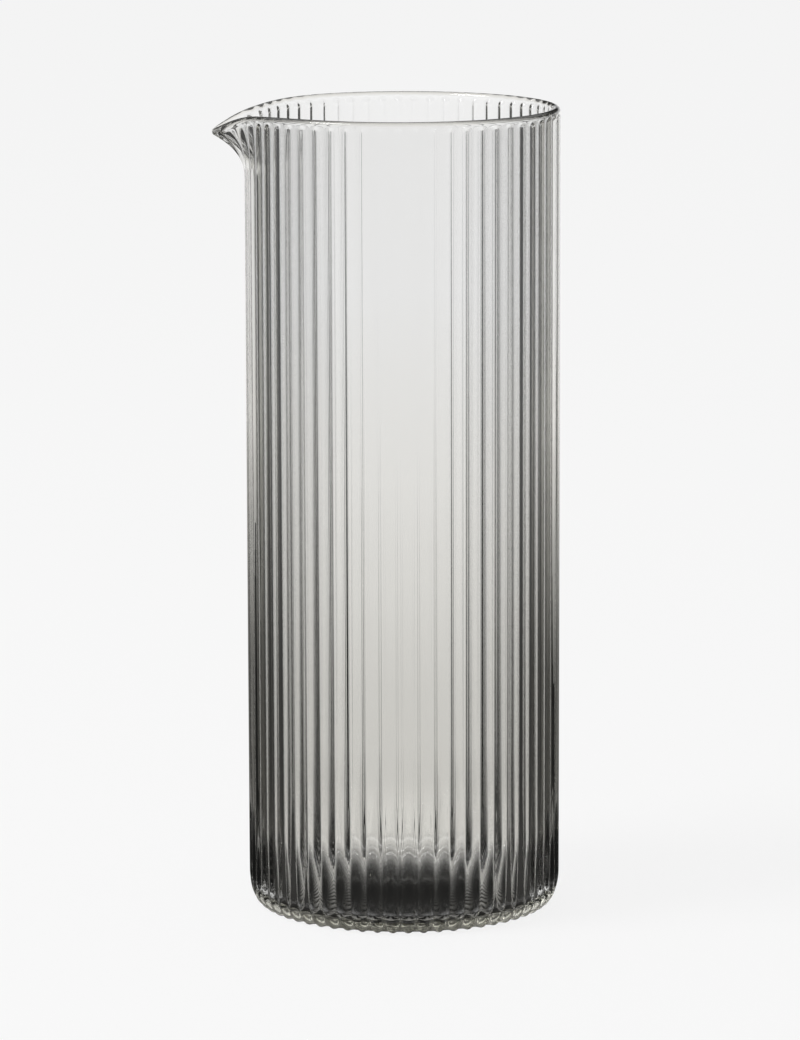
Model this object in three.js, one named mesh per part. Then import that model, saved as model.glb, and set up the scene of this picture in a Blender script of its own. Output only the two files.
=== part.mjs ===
// A tall fluted glass jug, mould-blown in one piece: a straight round body with upright ribs,
// a thin dished base with a rounded heel, a smooth rim and a pouring lip drawn out of the rim while hot.
// Millimetres, +Z up. The origin is the centre of the flat underside and the lip points along -X.

import * as THREE from 'three';

// Body
const HEIGHT = 231.3; // underside to the top of the rim
const BODY_DIAMETER = 90; // across opposite rib crests
const WALL = 2.4; // glass from the inner face to a rib crest
const FLOOR = 2.4; // glass below the milk, at the middle
const FLOOR_CURVE = 900; // radius of the slightly dished inner floor
const HEEL_REACH = 4; // oval outer corner from wall to underside, measured across
const HEEL_HEIGHT = 9; // the same corner, measured up the wall
const INNER_FILLET = 2.6; // inner corner from wall to floor

// Ribs, convex outside, with a narrow rounded groove between neighbours
const RIB_COUNT = 59;
const GROOVE_DEPTH = 0.65; // crest to groove on the wall
const HEEL_GROOVE_DEPTH = 1.4; // crest to groove on the heel
const HEEL_BLEND = 12; // height over which the deeper heel grooves fade into the wall's
const GROOVE_ROUNDING = 0.15; // share of the way from groove to crest that is hollow
const GROOVE_RUNOUT = 1.7; // height in which a groove rises to the surface at its upper end
const GROOVE_TUCK = 1.5; // how far a groove runs in under the heel
const RIM_BAND = 0.1; // plain glass from the upper groove ends to the rounded edge

// Pouring lip, drawn out of the upper wall
const LIP_REACH = 9.7; // tip of the lip outside the wall
const LIP_LENGTH = 20.5; // height of wall that is drawn out
const LIP_SPREAD = 13.3; // degrees round the jug at which the reach has fallen to 1/e
const LIP_CURL = 2.2; // power of the outward bend, higher turns out later
const LIP_DROOP = 5.5; // sharp dip of the rim at the tip
const LIP_DROOP_SPREAD = 11.4; // degrees at which that dip has fallen to 1/e
const RIM_SAG = 1.9; // broad dip of the rim on the side of the lip
const RIM_SAG_SPREAD = 30; // degrees at which the broad dip has fallen to 1/e
const DROOP_CURL = 1.3; // power of the dip along the drawn height

// Fineness of the facets
const POINTS_PER_RIB = 4; // on the ribbed outside and the rim
const INNER_POINTS_PER_RIB = 2;
const HEEL_STEPS = 4;
const BLEND_STEPS = 2;
const LIP_STEPS = 5;
const RUNOUT_STEPS = 2;
const RIM_STEPS = 4;
const FILLET_STEPS = 3;
const DISH_STEPS = 3;
const PROBE = 0.001; // small step that measures a slope

const BODY_RADIUS = BODY_DIAMETER / 2;
const INNER_RADIUS = BODY_RADIUS - WALL;
const EDGE_RADIUS = WALL / 2;
const EDGE_BASE = HEIGHT - EDGE_RADIUS;
const GROOVE_TOP = EDGE_BASE - RIM_BAND;
const RUNOUT_BASE = GROOVE_TOP - GROOVE_RUNOUT;
const LIP_BASE = HEIGHT - LIP_LENGTH;
const FOOT_RADIUS = BODY_RADIUS - HEEL_REACH - GROOVE_TUCK;
const CORNER_OUT = INNER_RADIUS - INNER_FILLET;
const CORNER_SLOPE = Math.asin(CORNER_OUT / (FLOOR_CURVE - INNER_FILLET));
const CORNER_DROP = (FLOOR_CURVE - INNER_FILLET) * Math.cos(CORNER_SLOPE);
const CORNER_HEIGHT = FLOOR + FLOOR_CURVE - CORNER_DROP;

// Angles run round the jug from the middle of the lip.
function polar(angle, radius, height) {
  return new THREE.Vector3(-radius * Math.cos(angle), -radius * Math.sin(angle), height);
}

// Share left of a bump at the lip, by the angle away from it and the bump's spread in degrees.
function bump(angle, spread) {
  const away = Math.acos(Math.cos(angle)) / THREE.MathUtils.degToRad(spread);
  return Math.exp(-(away ** 2));
}

// The surface over the rib crests: a plain cylinder, drawn out and down near the lip.
function crestSurface(angle, height) {
  const drawn = Math.max(0, (height - LIP_BASE) / LIP_LENGTH);
  const reach = LIP_REACH * bump(angle, LIP_SPREAD) * drawn ** LIP_CURL;
  const dip = LIP_DROOP * bump(angle, LIP_DROOP_SPREAD) + RIM_SAG * bump(angle, RIM_SAG_SPREAD);
  const point = polar(angle, BODY_RADIUS, height - dip * drawn ** DROOP_CURL);
  point.x -= reach;
  return point;
}

// A point of the wall: sunk square into the glass from the crest surface, then lifted along it.
function wallPoint(angle, height, sunk, lift = 0) {
  const round = crestSurface(angle + PROBE, height).sub(crestSurface(angle - PROBE, height));
  const rise = crestSurface(angle, height + PROBE).sub(crestSurface(angle, height - PROBE));
  const upward = rise.normalize();
  const outward = round.cross(upward).normalize();
  const point = crestSurface(angle, height);
  return point.addScaledVector(outward, -sunk).addScaledVector(upward, lift);
}

// Depth of the groove pattern: rounded rib crests, deepest on the line between two ribs.
function groove(angle, height) {
  const { lerp, smoothstep } = THREE.MathUtils;
  const ribs = (angle * RIB_COUNT) / (2 * Math.PI);
  const fromCrest = 2 * Math.abs(ribs - Math.round(ribs));
  const crestShare = 1 - GROOVE_ROUNDING;
  const crest = fromCrest ** 2 / crestShare;
  const hollow = 1 - (1 - fromCrest) ** 2 / GROOVE_ROUNDING;
  const overHeel = smoothstep(height, HEEL_HEIGHT, HEEL_HEIGHT + HEEL_BLEND);
  const depth = lerp(HEEL_GROOVE_DEPTH, GROOVE_DEPTH, overHeel);
  const runout = smoothstep(GROOVE_TOP - height, 0, GROOVE_RUNOUT);
  return depth * (fromCrest < crestShare ? crest : hollow) * runout;
}

// The heel carries the ribs round from the wall to the underside, cut square to its oval section.
function heelPoint(angle, turn) {
  const outward = new THREE.Vector2(HEEL_HEIGHT * Math.cos(turn), HEEL_REACH * Math.sin(turn));
  outward.setLength(groove(angle, HEEL_HEIGHT));
  const out = BODY_RADIUS - HEEL_REACH * (1 - Math.cos(turn)) - outward.x;
  return polar(angle, out, HEEL_HEIGHT * (1 - Math.sin(turn)) + outward.y);
}

// The rim is a half round over the wall's thickness.
function rimPoint(angle, turn) {
  const sunk = EDGE_RADIUS * (1 - Math.cos(turn));
  return wallPoint(angle, EDGE_BASE, sunk, EDGE_RADIUS * Math.sin(turn));
}

// The inner corner between wall and floor.
function filletPoint(angle, turn) {
  const out = CORNER_OUT + INNER_FILLET * Math.cos(turn);
  return polar(angle, out, CORNER_HEIGHT - INNER_FILLET * Math.sin(turn));
}

// The inner floor, a shallow bowl, by its slope.
function dishPoint(angle, slope) {
  const rise = FLOOR_CURVE * (1 - Math.cos(slope));
  return polar(angle, FLOOR_CURVE * Math.sin(slope), FLOOR + rise);
}

// Evenly spaced values from first to last, both included.
function spaced(first, last, steps) {
  return Array.from({ length: steps + 1 }, (_, i) => first + ((last - first) * i) / steps);
}

function ring(count, place) {
  return Array.from({ length: count }, (_, i) => place((2 * Math.PI * i) / count));
}

// Rings of the whole section, from the foot up the outside, over the rim and down to the floor.
function sectionRings() {
  const fine = RIB_COUNT * POINTS_PER_RIB;
  const inner = RIB_COUNT * INNER_POINTS_PER_RIB;
  const plain = RIB_COUNT;
  const quarter = Math.PI / 2;
  const lipHeights = spaced(LIP_BASE, RUNOUT_BASE, LIP_STEPS);
  const runoutHeights = spaced(RUNOUT_BASE, GROOVE_TOP, RUNOUT_STEPS).slice(1);
  const blendHeights = spaced(HEEL_HEIGHT, HEEL_HEIGHT + HEEL_BLEND, BLEND_STEPS).slice(1);
  const outerHeights = [...blendHeights, ...lipHeights, ...runoutHeights];
  const innerHeights = [...lipHeights].reverse();
  return [
    ring(plain, (angle) => polar(angle, FOOT_RADIUS, 0)),
    ...spaced(quarter, 0, HEEL_STEPS).map((turn) => ring(fine, (angle) => heelPoint(angle, turn))),
    ...outerHeights.map((height) =>
      ring(fine, (angle) => wallPoint(angle, height, groove(angle, height)))
    ),
    ...spaced(0, Math.PI, RIM_STEPS).map((turn) => ring(fine, (angle) => rimPoint(angle, turn))),
    ...innerHeights.map((height) => ring(inner, (angle) => wallPoint(angle, height, WALL))),
    ...spaced(0, quarter - CORNER_SLOPE, FILLET_STEPS).map((turn) =>
      ring(plain, (angle) => filletPoint(angle, turn))
    ),
    ...spaced(CORNER_SLOPE, 0, DISH_STEPS).slice(1, -1).map((slope) =>
      ring(plain, (angle) => dishPoint(angle, slope))
    ),
  ];
}

// Triangles between a ring and the next one up the section. One may have several points for
// each point of the other: every point of the finer ring joins the nearest of the coarser.
function joinRings(lower, upper, triangles) {
  const finer = lower.length >= upper.length ? lower : upper;
  const coarser = finer === lower ? upper : lower;
  const perCoarse = finer.length / coarser.length;
  const add = (a, b, c) => triangles.push(finer === lower ? [a, b, c] : [c, b, a]);
  finer.forEach((point, i) => {
    const next = finer[(i + 1) % finer.length];
    const here = Math.floor(i / perCoarse);
    const isMiddle = i % perCoarse === Math.floor(perCoarse / 2);
    const after = (here + 1) % coarser.length;
    if (isMiddle) add(point, coarser[after], coarser[here]);
    const nearest = i % perCoarse < Math.floor(perCoarse / 2) ? here : after;
    add(point, next, coarser[nearest]);
  });
}

function closeRing(edge, centre, facesDown, triangles) {
  edge.forEach((point, i) => {
    const next = edge[(i + 1) % edge.length];
    triangles.push(facesDown ? [next, point, centre] : [point, next, centre]);
  });
}

function flutedBody() {
  const rings = sectionRings();
  const triangles = [];
  closeRing(rings[0], new THREE.Vector3(0, 0, 0), true, triangles);
  rings.slice(1).forEach((upper, i) => joinRings(rings[i], upper, triangles));
  closeRing(rings[rings.length - 1], new THREE.Vector3(0, 0, FLOOR), false, triangles);
  const geometry = new THREE.BufferGeometry().setFromPoints(triangles.flat());
  geometry.computeVertexNormals();
  return geometry;
}

const glass = new THREE.MeshStandardMaterial({
  color: 0xdcdcd6,
  roughness: 0.04,
  metalness: 0,
  transparent: true,
  opacity: 0.35,
});

const body = new THREE.Mesh(flutedBody(), glass);
body.name = 'fluted_glass_body';

const jug = new THREE.Group();
jug.add(body);

export default jug;
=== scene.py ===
import math

import bmesh
import bpy
from mathutils import Matrix, Vector


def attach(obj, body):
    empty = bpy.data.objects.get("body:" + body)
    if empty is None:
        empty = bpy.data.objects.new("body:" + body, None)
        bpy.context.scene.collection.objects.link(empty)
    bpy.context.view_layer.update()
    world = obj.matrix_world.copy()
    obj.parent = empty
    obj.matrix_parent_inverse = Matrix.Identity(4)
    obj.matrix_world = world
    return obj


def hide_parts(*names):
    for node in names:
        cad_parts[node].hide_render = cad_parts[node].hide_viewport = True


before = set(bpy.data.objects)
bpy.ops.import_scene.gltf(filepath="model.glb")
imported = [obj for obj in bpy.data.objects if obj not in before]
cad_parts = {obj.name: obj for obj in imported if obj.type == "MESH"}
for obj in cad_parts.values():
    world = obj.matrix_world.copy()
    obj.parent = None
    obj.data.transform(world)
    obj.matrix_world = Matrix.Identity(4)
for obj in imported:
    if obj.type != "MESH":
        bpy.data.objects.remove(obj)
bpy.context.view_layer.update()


# Fluted glass body.
# One piece of clear soda-lime glass, blown into a ribbed mould. The ribs run round the heel below
# and die out under the smooth rim, and the pouring lip is drawn out of the rim while it is hot.

MM = 0.001
HEIGHT = 231.3 * MM
BODY_RADIUS = 45 * MM
WALL = 2.4 * MM
FLOOR_GLASS = 2.4 * MM
FLOOR_CURVE = 900 * MM
HEEL_REACH = 4 * MM
HEEL_HEIGHT = 9 * MM
INNER_FILLET = 2.6 * MM
GROOVE_RUNOUT = 1.7 * MM
GROOVE_TUCK = 1.5 * MM
RIM_BAND = 0.1 * MM
LIP_LENGTH = 20.5 * MM

INNER_RADIUS = BODY_RADIUS - WALL
EDGE_RADIUS = WALL / 2
EDGE_BASE = HEIGHT - EDGE_RADIUS
GROOVE_TOP = EDGE_BASE - RIM_BAND
LIP_BASE = HEIGHT - LIP_LENGTH
CORNER_OUT = INNER_RADIUS - INNER_FILLET
CORNER_SLOPE = math.asin(CORNER_OUT / (FLOOR_CURVE - INNER_FILLET))
CORNER_HEIGHT = FLOOR_GLASS + FLOOR_CURVE - (FLOOR_CURVE - INNER_FILLET) * math.cos(CORNER_SLOPE)

# Steps along each stretch of the section, and the gap that counts as closed.
FOOT_STEPS = 3
HEEL_STEPS = 12
WALL_STEPS = 14
LIP_STEPS = 14
RUNOUT_STEPS = 6
RIM_STEPS = 10
INNER_WALL_STEPS = 8
CORNER_STEPS = 8
DISH_STEPS = 6
SEAM_GAP = 0.01 * MM

rib_sizes = {
    "Rib count": 59,
    "Columns per rib": 14,
    "Groove depth": 0.65 * MM,
    "Heel groove depth": 1.4 * MM,
    "Groove rounding": 0.15,
    "Heel height": HEEL_HEIGHT,
    "Heel blend": 12 * MM,
}
lip_sizes = {
    "Body radius": BODY_RADIUS,
    "Edge base": EDGE_BASE,
    "Lip base": LIP_BASE,
    "Lip length": LIP_LENGTH,
    "Lip reach": 9.7 * MM,
    "Lip spread": math.radians(13.3),
    "Lip curl": 2.2,
    "Droop": 5.5 * MM,
    "Droop spread": math.radians(11.4),
    "Sag": 1.9 * MM,
    "Sag spread": math.radians(30),
    "Droop curl": 1.3,
}


def spaced(first, last, steps):
    """Evenly spaced values from first to last, both included."""
    return [first + (last - first) * i / steps for i in range(steps + 1)]


def smooth(share):
    """A share that starts and ends gently, held between 0 and 1."""
    share = min(1, max(0, share))
    return share * share * (3 - 2 * share)


def foot_section():
    """The flat underside, where the grooves fade in towards the heel."""
    inner = BODY_RADIUS - HEEL_REACH - GROOVE_TUCK
    outer = BODY_RADIUS - HEEL_REACH
    rows = [(0, 0, 0, 0), (inner / 2, 0, 0, 0)]
    for radius in spaced(inner, outer, FOOT_STEPS)[:-1]:
        rows.append((radius, 0, 0, smooth((radius - inner) / GROOVE_TUCK)))
    return rows


def heel_section():
    """The oval outer corner: each groove is cut square to it."""
    rows = []
    for turn in spaced(math.pi / 2, 0, HEEL_STEPS):
        square = Vector((HEEL_HEIGHT * math.cos(turn), HEEL_REACH * math.sin(turn))).normalized()
        radius = BODY_RADIUS - HEEL_REACH * (1 - math.cos(turn))
        rows.append((radius, HEEL_HEIGHT * (1 - math.sin(turn)), -square.x, square.y))
    return rows


def outer_wall_section():
    """The ribbed wall from the heel to the groove ends, with closer rows where it is drawn out."""
    heights = spaced(HEEL_HEIGHT, LIP_BASE, WALL_STEPS)[1:]
    heights += spaced(LIP_BASE, GROOVE_TOP - GROOVE_RUNOUT, LIP_STEPS)[1:]
    heights += spaced(heights[-1], GROOVE_TOP, RUNOUT_STEPS)[1:]
    return [(BODY_RADIUS, z, -smooth((GROOVE_TOP - z) / GROOVE_RUNOUT), 0) for z in heights]


def rim_section():
    """The fire-polished edge, a half round over the wall's thickness."""
    middle = BODY_RADIUS - EDGE_RADIUS
    rows = []
    for turn in spaced(0, math.pi, RIM_STEPS):
        radius = middle + EDGE_RADIUS * math.cos(turn)
        rows.append((radius, EDGE_BASE + EDGE_RADIUS * math.sin(turn), 0, 0))
    return rows


def inner_section():
    """The smooth inside, from the rim down the wall and round the corner to the dished floor."""
    heights = spaced(EDGE_BASE, LIP_BASE, LIP_STEPS)[1:]
    heights += spaced(LIP_BASE, CORNER_HEIGHT, INNER_WALL_STEPS)[1:-1]
    rows = [(INNER_RADIUS, z, 0, 0) for z in heights]
    for turn in spaced(0, math.pi / 2 - CORNER_SLOPE, CORNER_STEPS):
        radius = CORNER_OUT + INNER_FILLET * math.cos(turn)
        rows.append((radius, CORNER_HEIGHT - INNER_FILLET * math.sin(turn), 0, 0))
    for slope in spaced(CORNER_SLOPE, 0, DISH_STEPS)[1:]:
        height = FLOOR_GLASS + FLOOR_CURVE * (1 - math.cos(slope))
        rows.append((FLOOR_CURVE * math.sin(slope), height, 0, 0))
    return rows


def section_mesh():
    """The body's section as a line of points, each with the direction in which a groove sinks."""
    rows = foot_section() + heel_section() + outer_wall_section() + rim_section() + inner_section()
    mesh = bpy.data.meshes.new("fluted_glass_body")
    points = [(radius, 0, height) for radius, height, _, _ in rows]
    mesh.from_pydata(points, [(i, i + 1) for i in range(len(rows) - 1)], [])
    cut = mesh.attributes.new("cut", "FLOAT_VECTOR", "POINT")
    for place, (_, _, across, up) in zip(cut.data, rows):
        place.vector = (across, 0, up)
    return mesh


class Amount:
    """A number in a node tree, so that shapes and light can be written as formulas."""

    def __init__(self, tree, socket):
        self.tree = tree
        self.socket = socket

    def apply(self, operation, *terms):
        """The result of a Math node on this number and the terms."""
        node = self.tree.nodes.new("ShaderNodeMath")
        node.operation = operation
        for place, term in zip(node.inputs, (self, *terms)):
            if isinstance(term, Amount):
                self.tree.links.new(term.socket, place)
            else:
                place.default_value = term
        return Amount(self.tree, node.outputs[0])

    def held(self):
        """The number, held between 0 and 1."""
        return self.apply("MAXIMUM", 0).apply("MINIMUM", 1)

    def __add__(self, other):
        return self.apply("ADD", other)

    def __sub__(self, other):
        return self.apply("SUBTRACT", other)

    def __rsub__(self, other):
        return (self * -1) + other

    def __mul__(self, other):
        return self.apply("MULTIPLY", other)

    def __truediv__(self, other):
        return self.apply("DIVIDE", other)

    def __pow__(self, other):
        return self.apply("POWER", other)


def vector(tree, x, y, z):
    node = tree.nodes.new("ShaderNodeCombineXYZ")
    for place, part in zip(node.inputs, (x, y, z)):
        if isinstance(part, Amount):
            tree.links.new(part.socket, place)
        else:
            place.default_value = part
    return node.outputs[0]


def parts(tree, socket):
    """The three numbers of a vector."""
    node = tree.nodes.new("ShaderNodeSeparateXYZ")
    tree.links.new(socket, node.inputs[0])
    return [Amount(tree, out) for out in node.outputs]


def vector_math(tree, operation, *terms):
    node = tree.nodes.new("ShaderNodeVectorMath")
    node.operation = operation
    for place, term in zip(node.inputs, terms):
        tree.links.new(term, place)
    return node.outputs[0]


def scaled(tree, socket, amount):
    node = tree.nodes.new("ShaderNodeVectorMath")
    node.operation = "SCALE"
    tree.links.new(socket, node.inputs[0])
    tree.links.new(amount.socket, node.inputs["Scale"])
    return node.outputs[0]


def flat_sheet(tree, columns, row_count):
    """A flat sheet of points, one metre each way, round its own middle."""
    sheet = tree.nodes.new("GeometryNodeMeshGrid")
    tree.links.new(columns.socket, sheet.inputs["Vertices X"])
    tree.links.new(row_count.socket, sheet.inputs["Vertices Y"])
    sheet.inputs["Size X"].default_value = 1
    sheet.inputs["Size Y"].default_value = 1
    return sheet


def at_row(tree, section, row, socket):
    """A vector that the section holds at a row, as three numbers."""
    node = tree.nodes.new("GeometryNodeSampleIndex")
    node.data_type = "FLOAT_VECTOR"
    tree.links.new(section, node.inputs["Geometry"])
    tree.links.new(socket, node.inputs["Value"])
    tree.links.new(row.socket, node.inputs["Index"])
    return parts(tree, node.outputs[0])


def groove_direction(tree):
    """The section's own attribute for the direction in which a groove sinks."""
    node = tree.nodes.new("GeometryNodeInputNamedAttribute")
    node.data_type = "FLOAT_VECTOR"
    node.inputs["Name"].default_value = "cut"
    return node.outputs["Attribute"]


def groove_depth(size, round_share, height):
    """Rounded crests with a narrow rounded groove between neighbours, deeper on the heel."""
    ribs = round_share * size["Rib count"]
    from_crest = (ribs - ribs.apply("ROUND")).apply("ABSOLUTE") * 2
    crest_share = size["Groove rounding"] * -1 + 1
    crest = from_crest**2 / crest_share
    hollow = 1 - (1 - from_crest) ** 2 / size["Groove rounding"]
    is_hollow = from_crest.apply("GREATER_THAN", crest_share)
    profile = crest + (hollow - crest) * is_hollow
    over_heel = ((height - size["Heel height"]) / size["Heel blend"]).held()
    over_heel = over_heel**2 * (3 - over_heel * 2)
    deep, shallow = size["Heel groove depth"], size["Groove depth"]
    return (deep + (shallow - deep) * over_heel) * profile


def drawn_wall(tree, size, turn, wall_height):
    """The surface over the crests, drawn out and down near the lip: a point of it, and the
    directions up along it and square out of it."""
    away = turn.apply("WRAP", math.pi, -math.pi)

    def bump(spread):
        return ((away / spread) ** 2 * -1).apply("EXPONENT")

    def slope(share, spread):
        return share * away * -2 / spread**2

    drawn = ((wall_height - size["Lip base"]) / size["Lip length"]).apply("MAXIMUM", 0)
    out_share = bump(size["Lip spread"])
    out_rise = drawn ** size["Lip curl"] * size["Lip reach"]
    reach = out_rise * out_share
    reach_round = out_rise * slope(out_share, size["Lip spread"])
    out_steepness = drawn ** (size["Lip curl"] - 1) * size["Lip curl"] / size["Lip length"]
    reach_up = out_steepness * size["Lip reach"] * out_share
    droop = size["Droop"] * bump(size["Droop spread"])
    sag = size["Sag"] * bump(size["Sag spread"])
    dip = droop + sag
    dip_round = slope(droop, size["Droop spread"]) + slope(sag, size["Sag spread"])
    down_rise = drawn ** size["Droop curl"]
    down_steepness = drawn ** (size["Droop curl"] - 1) * size["Droop curl"] / size["Lip length"]
    across = turn.apply("COSINE") * size["Body radius"]
    along = turn.apply("SINE") * size["Body radius"]
    point = vector(tree, across * -1 - reach, along * -1, wall_height - dip * down_rise)
    round_slope = vector(tree, along - reach_round, across * -1, dip_round * down_rise * -1)
    up_slope = vector(tree, reach_up * -1, 0, 1 - dip * down_steepness)
    upward = vector_math(tree, "NORMALIZE", up_slope)
    square = vector_math(tree, "CROSS_PRODUCT", round_slope, upward)
    return point, upward, vector_math(tree, "NORMALIZE", square)


def closed_body(tree, sheet, moved, glass):
    """The sheet bent into the body, with its seam and its two poles closed, in glass."""
    nodes, link = tree.nodes, tree.links.new
    bent = nodes.new("GeometryNodeSetPosition")
    link(sheet.outputs["Mesh"], bent.inputs["Geometry"])
    link(moved, bent.inputs["Position"])
    closed = nodes.new("GeometryNodeMergeByDistance")
    closed.inputs["Distance"].default_value = SEAM_GAP
    link(bent.outputs[0], closed.inputs[0])
    rounded = nodes.new("GeometryNodeSetShadeSmooth")
    link(closed.outputs[0], rounded.inputs[0])
    real = nodes.new("GeometryNodeRealizeInstances")
    link(rounded.outputs[0], real.inputs[0])
    coated = nodes.new("GeometryNodeSetMaterial")
    link(real.outputs[0], coated.inputs["Geometry"])
    link(glass, coated.inputs["Material"])
    return coated.outputs[0]


def fluted_tree():
    """Node tree that turns the section round the axis, sinks the grooves and draws out the lip."""
    tree = bpy.data.node_groups.new("Fluted body", "GeometryNodeTree")
    tree.is_modifier = True
    nodes, link = tree.nodes, tree.links.new
    tree.interface.new_socket("Section", in_out="INPUT", socket_type="NodeSocketGeometry")
    for name in (*rib_sizes, *lip_sizes):
        tree.interface.new_socket(name, in_out="INPUT", socket_type="NodeSocketFloat")
    tree.interface.new_socket("Glass", in_out="INPUT", socket_type="NodeSocketMaterial")
    tree.interface.new_socket("Body", in_out="OUTPUT", socket_type="NodeSocketGeometry")
    given = nodes.new("NodeGroupInput")
    size = {name: Amount(tree, given.outputs[name]) for name in (*rib_sizes, *lip_sizes)}
    section = given.outputs["Section"]

    # One column of the sheet for each step round the jug, one row for each point of the section.
    counted = nodes.new("GeometryNodeAttributeDomainSize")
    link(section, counted.inputs[0])
    row_count = Amount(tree, counted.outputs["Point Count"])
    sheet = flat_sheet(tree, size["Rib count"] * size["Columns per rib"] + 1, row_count)
    place = nodes.new("GeometryNodeInputPosition").outputs[0]
    sheet_x, sheet_y, _ = parts(tree, place)
    row = ((sheet_y + 0.5) * (row_count - 1)).apply("ROUND")
    radius, _, height = at_row(tree, section, row, place)
    cut_across, _, cut_up = at_row(tree, section, row, groove_direction(tree))

    groove = groove_depth(size, sheet_x + 0.5, height)
    wall_height = height.apply("MINIMUM", size["Edge base"])
    turn = sheet_x * math.tau + math.pi
    point, upward, outward = drawn_wall(tree, size, turn, wall_height)
    lift = height - wall_height + groove * cut_up
    stand_out = radius - size["Body radius"] + groove * cut_across
    moved = vector_math(tree, "ADD", point, scaled(tree, outward, stand_out))
    moved = vector_math(tree, "ADD", moved, scaled(tree, upward, lift))
    body = closed_body(tree, sheet, moved, given.outputs["Glass"])
    link(body, nodes.new("NodeGroupOutput").inputs[0])
    return tree


GLASS_IOR = 1.52
GLINT = 0.1
SMOKE_COLOUR = (0.6, 0.59, 0.5, 1)
SMOKE_DENSITY = 20
DRAW_MARKS_PER_METRE = (60, 60, 9)
WAVE_STRENGTH = 0.06
WAVE_HEIGHT = 0.4 * MM
POLISHED_BELOW = 0.35
DULLEST_ABOVE = 0.75
DULLEST = 0.004


def blown_finish(nodes, link, shader):
    """The slight waviness and unequal polish of blown glass, in marks drawn out upwards."""
    where = nodes.new("ShaderNodeTexCoord")
    stretch = nodes.new("ShaderNodeMapping")
    stretch.inputs["Scale"].default_value = DRAW_MARKS_PER_METRE
    link(where.outputs["Object"], stretch.inputs["Vector"])
    draw_marks = nodes.new("ShaderNodeTexNoise")
    draw_marks.inputs["Scale"].default_value = 1
    draw_marks.inputs["Detail"].default_value = 1
    link(stretch.outputs[0], draw_marks.inputs["Vector"])
    waviness = nodes.new("ShaderNodeBump")
    waviness.inputs["Strength"].default_value = WAVE_STRENGTH
    waviness.inputs["Distance"].default_value = WAVE_HEIGHT
    link(draw_marks.outputs["Fac"], waviness.inputs["Height"])
    link(waviness.outputs[0], shader.inputs["Normal"])
    polish = nodes.new("ShaderNodeMapRange")
    polish.inputs["From Min"].default_value = POLISHED_BELOW
    polish.inputs["From Max"].default_value = DULLEST_ABOVE
    polish.inputs["To Min"].default_value = 0
    polish.inputs["To Max"].default_value = DULLEST
    link(draw_marks.outputs["Fac"], polish.inputs["Value"])
    link(polish.outputs[0], shader.inputs["Roughness"])


def clear_glass():
    """Clear glass with a faint warm grey smoke in its depth."""
    material = bpy.data.materials.new("clear_glass")
    material.use_nodes = True
    nodes, link = material.node_tree.nodes, material.node_tree.links.new
    shader = nodes["Principled BSDF"]
    shader.inputs["Base Color"].default_value = (1, 1, 1, 1)
    shader.inputs["IOR"].default_value = GLASS_IOR
    shader.inputs["Specular IOR Level"].default_value = GLINT
    shader.inputs["Transmission Weight"].default_value = 1
    blown_finish(nodes, link, shader)
    smoke = nodes.new("ShaderNodeVolumeAbsorption")
    smoke.inputs["Color"].default_value = SMOKE_COLOUR
    smoke.inputs["Density"].default_value = SMOKE_DENSITY
    link(smoke.outputs[0], nodes["Material Output"].inputs["Volume"])
    return material


def fluted_body():
    """The section with the node tree on it, and its sizes given."""
    body = bpy.data.objects.new("fluted_body", section_mesh())
    bpy.context.collection.objects.link(body)
    shape = body.modifiers.new("Fluted body", "NODES")
    tree = fluted_tree()
    given = {**rib_sizes, **lip_sizes, "Glass": clear_glass()}
    for item in tree.interface.items_tree:
        if item.in_out == "INPUT" and item.name in given:
            value = given[item.name]
            shape[item.identifier] = value if item.name == "Glass" else float(value)
    shape.node_group = tree
    return body


def made_plain(piece):
    """Turns the piece's modifiers into a plain mesh with faces pointing out."""
    bpy.context.view_layer.update()
    seen = piece.evaluated_get(bpy.context.evaluated_depsgraph_get())
    mesh = bpy.data.meshes.new_from_object(seen)
    piece.modifiers.clear()
    piece.data = mesh
    edit = bmesh.new()
    edit.from_mesh(mesh)
    if edit.calc_volume(signed=True) < 0:
        bmesh.ops.reverse_faces(edit, faces=edit.faces)
    edit.to_mesh(mesh)
    edit.free()
    return piece


body = made_plain(fluted_body())
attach(body, "root")
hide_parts("fluted_glass_body")


# Floor.
# A wide sheet of plain pale paper under and behind the jug. It shows evenly pale to the camera and
# keeps the jug's shadow. Through the glass it shows a painted shade that darkens towards the foot,
# where little light gets in, and reflections in the glass see it painted darker, as in a dark room.

PALE = 0.923
SHOWN_PALE = 0.954
SHADOW_SHARE = 0.12
FLOOR_DROP = 0.2 * MM
FLOOR_HALF = 7
# Tint of the painted shade near the foot, fading to white far off.
PAINTED_SHADE_TINT = (1, 0.98, 0.92, 1)
WHITE = (1, 1, 1, 1)

# Distance from the jug's axis in metres, and the painted shade with which the glass sees the paper
# there.
painted_floor_shade = [
    (0, 0.01), (0.02, 0.02), (0.03, 0.06), (0.04, 0.28),
    (0.05, 0.5), (0.07, 0.74), (0.085, 0.82), (0.15, 0.7),
    (0.29, 0.73), (0.47, 0.82), (0.7, 0.89), (1.3, 0.95),
]
FALLOFF_END = painted_floor_shade[-1][0]

# Share of that light which reflections keep, near the jug and far off, in metres: the rest is
# painted darkness in the reflections. Straight behind the jug they keep more: the shares change
# where the paper's direction gets close to straight back.
ASIDE_NEAR = 0.05
ASIDE_FAR = 0.1
BEHIND_NEAR = 0.3
BEHIND_FAR = 1.1
NEAR_END = 0.35
FAR_START = 0.9
BEHIND_FROM = 0.85
BEHIND_FULL = 0.93


def bare_material(name):
    material = bpy.data.materials.new(name)
    material.use_nodes = True
    material.node_tree.nodes.clear()
    return material


def seen_by_glass(tree, path):
    """1 for a line of sight that comes straight from the glass, and otherwise 0."""
    transmitted = Amount(tree, path.outputs["Is Transmission Ray"])
    return Amount(tree, path.outputs["Is Glossy Ray"]).apply("MAXIMUM", transmitted)


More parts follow.
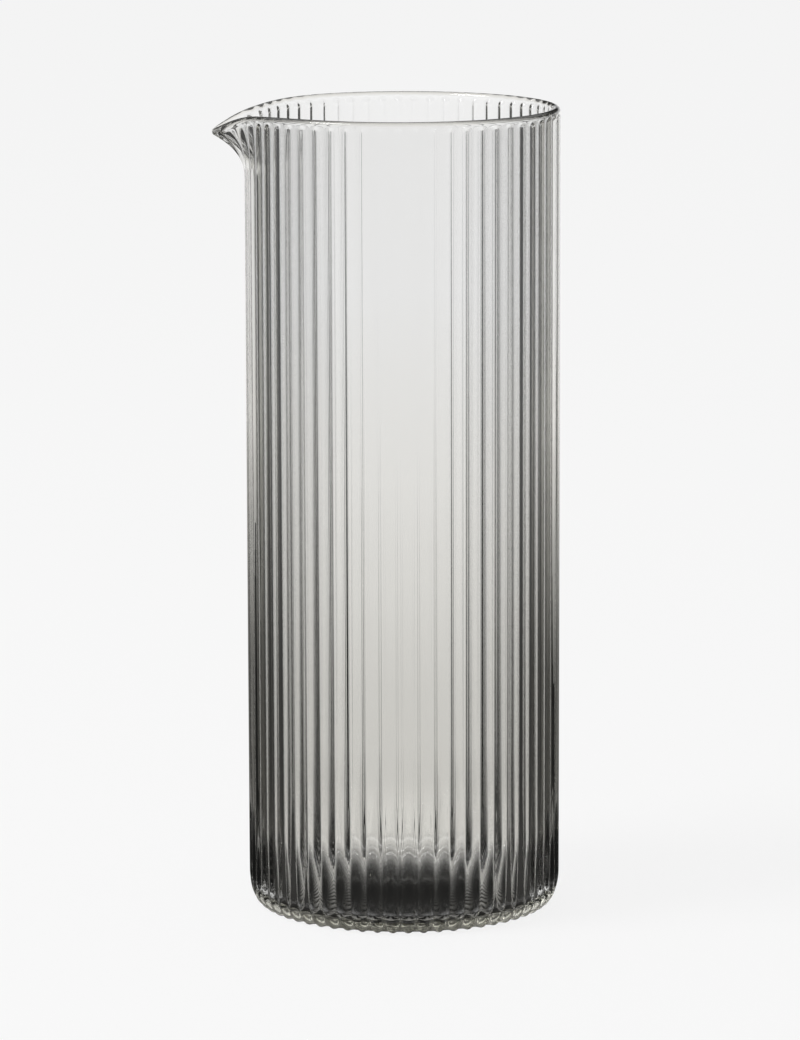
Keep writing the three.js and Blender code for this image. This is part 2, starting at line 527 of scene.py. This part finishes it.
def has_reflection(tree, path):
    """1 for a line of sight that was reflected on its way, and otherwise 0."""
    return Amount(tree, path.outputs["Glossy Depth"]).apply("MINIMUM", 1)


def mixed(tree, share, first, second):
    """The first shader where the share is 0, and the second where it is 1."""
    node = tree.nodes.new("ShaderNodeMixShader")
    tree.links.new(share.socket, node.inputs["Fac"])
    tree.links.new(first.outputs[0], node.inputs[1])
    tree.links.new(second.outputs[0], node.inputs[2])
    return node


def colour_by_distance(tree, distance, colours):
    """A colour that changes from the jug's axis outwards, given as distances with their colours."""
    ramp = tree.nodes.new("ShaderNodeValToRGB")
    tree.links.new((distance / FALLOFF_END).socket, ramp.inputs["Fac"])
    stops = ramp.color_ramp.elements
    while len(stops) < len(colours):
        stops.new(1)
    for stop, (place, colour) in zip(stops, colours):
        stop.position = place / FALLOFF_END
        stop.color = colour
    return ramp.outputs["Color"]


def kept_by_reflections(distance, y):
    """The share of the paper's light that reflections in the glass keep; the rest is painted
    darkness.
    """
    far = ((distance - NEAR_END) / (FAR_START - NEAR_END)).held()
    behind = ((y / distance - BEHIND_FROM) / (BEHIND_FULL - BEHIND_FROM)).held()
    aside_share = far * (ASIDE_FAR - ASIDE_NEAR) + ASIDE_NEAR
    behind_share = far * (BEHIND_FAR - BEHIND_NEAR) + BEHIND_NEAR
    return aside_share + behind * (behind_share - aside_share)


def paper_in_glass(tree, path):
    """The paper as the glass sees it, with painted shade towards the foot and painted darkening in
    reflections.
    """
    where = tree.nodes.new("ShaderNodeTexCoord")
    x, y, _ = parts(tree, where.outputs["Object"])
    distance = (x**2 + y**2).apply("SQRT")
    greys = [(place, (bright, bright, bright, 1)) for place, bright in painted_floor_shade]
    through = Amount(tree, colour_by_distance(tree, distance, greys))
    # Painted darkening of the paper in reflections.
    lost = has_reflection(tree, path) * (1 - kept_by_reflections(distance, y))
    glow = tree.nodes.new("ShaderNodeEmission")
    tree.links.new((through * (1 - lost)).socket, glow.inputs["Strength"])
    tints = [(0, PAINTED_SHADE_TINT), (FALLOFF_END, WHITE)]
    tree.links.new(colour_by_distance(tree, distance, tints), glow.inputs["Color"])
    return glow


def pale_paper():
    """Even to the camera, with a share of real light for the shadow, and its own look in glass."""
    material = bare_material("pale_paper")
    tree = material.node_tree
    path = tree.nodes.new("ShaderNodeLightPath")
    even = tree.nodes.new("ShaderNodeEmission")
    even.inputs["Color"].default_value = (SHOWN_PALE, SHOWN_PALE, SHOWN_PALE, 1)
    paper = tree.nodes.new("ShaderNodeBsdfDiffuse")
    paper.inputs["Color"].default_value = (PALE, PALE, PALE, 1)
    camera_share = Amount(tree, path.outputs["Is Camera Ray"]) * (1 - SHADOW_SHARE)
    shown = mixed(tree, camera_share, paper, even)
    either = mixed(tree, seen_by_glass(tree, path), shown, paper_in_glass(tree, path))
    out = tree.nodes.new("ShaderNodeOutputMaterial")
    tree.links.new(either.outputs[0], out.inputs["Surface"])
    return material


def four_cornered(name, corners, material):
    """An object of separate flat faces, from four corners for each."""
    mesh = bpy.data.meshes.new(name)
    faces = [range(first, first + 4) for first in range(0, len(corners), 4)]
    mesh.from_pydata(corners, [], faces)
    mesh.materials.append(material)
    made = bpy.data.objects.new(name, mesh)
    bpy.context.collection.objects.link(made)
    return made


sheet_corners = [
    (x * FLOOR_HALF, y * FLOOR_HALF, -FLOOR_DROP)
    for x, y in ((-1, -1), (1, -1), (1, 1), (-1, 1))
]
four_cornered("floor", sheet_corners, pale_paper())


# Dark cards: painted darkness.
# Low black cards stand on edge on the paper behind the jug, on both sides of a clear strip. Only the
# glass sees them: they block no light and cast no shadow, and paint dark stripes on the ribs where
# flat lines of sight end on them, while steep ones pass between them.

STRIP_START = 22 * MM
STRIP_BEND = 1.2
STRIP_WIDENING = 0.5
CARDS_START = 50 * MM
CARDS_WIDENING = 1.5
CLEAR_OF_JUG = 49 * MM
FIRST_GAP = 6 * MM
GAP_SHARE = 0.1
CARD_TALL = 0.34
CARDS_END = 6
CARD_LIGHT = 0.006


def painted_dark_card():
    """Painted darkness that only the glass sees: almost black to it, and not there for the camera
    and the light.
    """
    material = bare_material("painted_dark_card")
    tree = material.node_tree
    path = tree.nodes.new("ShaderNodeLightPath")
    black = tree.nodes.new("ShaderNodeEmission")
    black.inputs["Strength"].default_value = CARD_LIGHT
    clear = tree.nodes.new("ShaderNodeBsdfTransparent")
    either = mixed(tree, seen_by_glass(tree, path), clear, black)
    out = tree.nodes.new("ShaderNodeOutputMaterial")
    tree.links.new(either.outputs[0], out.inputs["Surface"])
    return material


def card_pair(y, top):
    """Corners of the two cards of one row, left and right of the strip and clear of the jug."""
    inner = y**STRIP_BEND * STRIP_WIDENING + STRIP_START
    outer = inner * CARDS_WIDENING + CARDS_START
    inner = max(inner, math.sqrt(max(0, CLEAR_OF_JUG**2 - y**2)))
    outline = ((inner, 0), (outer, 0), (outer, top), (inner, top))
    return [(side * x, y, z - FLOOR_DROP) for side in (-1, 1) for x, z in outline]


def card_rows():
    """Corners of all the cards, in rows whose gaps and heights grow with the distance."""
    corners = []
    y = 0
    while y < CARDS_END:
        gap = max(FIRST_GAP, y * GAP_SHARE)
        corners += card_pair(y, gap * CARD_TALL)
        y += gap
    return corners


four_cornered("painted_dark_cards", card_rows(), painted_dark_card())


# Light.
# An even pale studio all round, and one wide soft lamp high on the left that lays a faint shadow
# to the right. Reflections in the glass see a painted room: painted dark above the horizon, with a
# painted light overhead.

SOFT_ROOM = 0.55
ROOM_IN_GLASS = 0.98
# Painted darkness and painted overhead light that reflections in the glass see.
PAINTED_DARKENING = 0.96
PAINTED_OVERHEAD_LIGHT = 0.8
DARK_FROM = 0.06
DARK_FULL = 0.16
OVERHEAD_FROM = 0.35
OVERHEAD_FULL = 0.5
KEY_PLACE = Vector((-1.2, -0.5, 1.5))
KEY_AIM = Vector((0, 0, 0.1))
KEY_WIDTH = 0.9
KEY_POWER = 18


def room_in_glass(tree, path):
    """The room as the glass sees it, with painted darkness above the horizon and a painted light
    overhead in reflections.
    """
    where = tree.nodes.new("ShaderNodeTexCoord")
    _, _, up = parts(tree, where.outputs["Generated"])
    dark = ((up - DARK_FROM) / (DARK_FULL - DARK_FROM)).held()
    overhead = ((up - OVERHEAD_FROM) / (OVERHEAD_FULL - OVERHEAD_FROM)).held()
    lost = (dark * PAINTED_DARKENING - overhead * PAINTED_OVERHEAD_LIGHT) * has_reflection(tree, path)
    glow = tree.nodes.new("ShaderNodeBackground")
    glow.inputs["Color"].default_value = (PALE, PALE, PALE, 1)
    tree.links.new((ROOM_IN_GLASS - lost).socket, glow.inputs["Strength"])
    return glow


def studio_room():
    """Soft light on the paper, an even pale colour to the camera, and its own look in glass."""
    world = bpy.data.worlds.new("studio")
    world.use_nodes = True
    bpy.context.scene.world = world
    tree = world.node_tree
    path = tree.nodes.new("ShaderNodeLightPath")
    soft = tree.nodes["Background"]
    soft.inputs["Color"].default_value = WHITE
    soft.inputs["Strength"].default_value = SOFT_ROOM
    even = tree.nodes.new("ShaderNodeBackground")
    even.inputs["Color"].default_value = (PALE, PALE, PALE, 1)
    shown = mixed(tree, Amount(tree, path.outputs["Is Camera Ray"]), soft, even)
    either = mixed(tree, seen_by_glass(tree, path), shown, room_in_glass(tree, path))
    tree.links.new(either.outputs[0], tree.nodes["World Output"].inputs["Surface"])


def key_lamp():
    light = bpy.data.lights.new("key_lamp", "AREA")
    light.shape = "DISK"
    light.size = KEY_WIDTH
    light.energy = KEY_POWER
    lamp = bpy.data.objects.new("key_lamp", light)
    lamp.location = KEY_PLACE
    lamp.rotation_mode = "QUATERNION"
    lamp.rotation_quaternion = (KEY_AIM - KEY_PLACE).to_track_quat("-Z", "Y")
    bpy.context.collection.objects.link(lamp)


studio_room()
key_lamp()


# Camera.
# A long lens at the height of a person seated back from the table, tipped down a little, and
# enough bounces for light that goes through many walls of glass and past many cards.

LENS = 182.26
SENSOR = 36
NEAREST = 0.05
FARTHEST = 50
CAMERA_PLACE = (0, -1.492263, 0.3822253)
PITCH_DOWN = math.radians(10.2677)
ROLL = math.radians(-0.167)
YAW = math.radians(-0.036)

camera = bpy.data.objects.new("camera", bpy.data.cameras.new("camera"))
camera.data.lens = LENS
camera.data.sensor_width = SENSOR
camera.data.clip_start = NEAREST
camera.data.clip_end = FARTHEST
turned = Matrix.Rotation(-YAW, 4, "Z") @ Matrix.Rotation(math.pi / 2 - PITCH_DOWN, 4, "X")
camera.matrix_world = Matrix.Translation(CAMERA_PLACE) @ turned @ Matrix.Rotation(ROLL, 4, "Z")
bpy.context.collection.objects.link(camera)

scene = bpy.context.scene
scene.camera = camera
scene.view_settings.view_transform = "Standard"
scene.cycles.max_bounces = 24
scene.cycles.transmission_bounces = 24
scene.cycles.glossy_bounces = 16
scene.cycles.transparent_max_bounces = 64
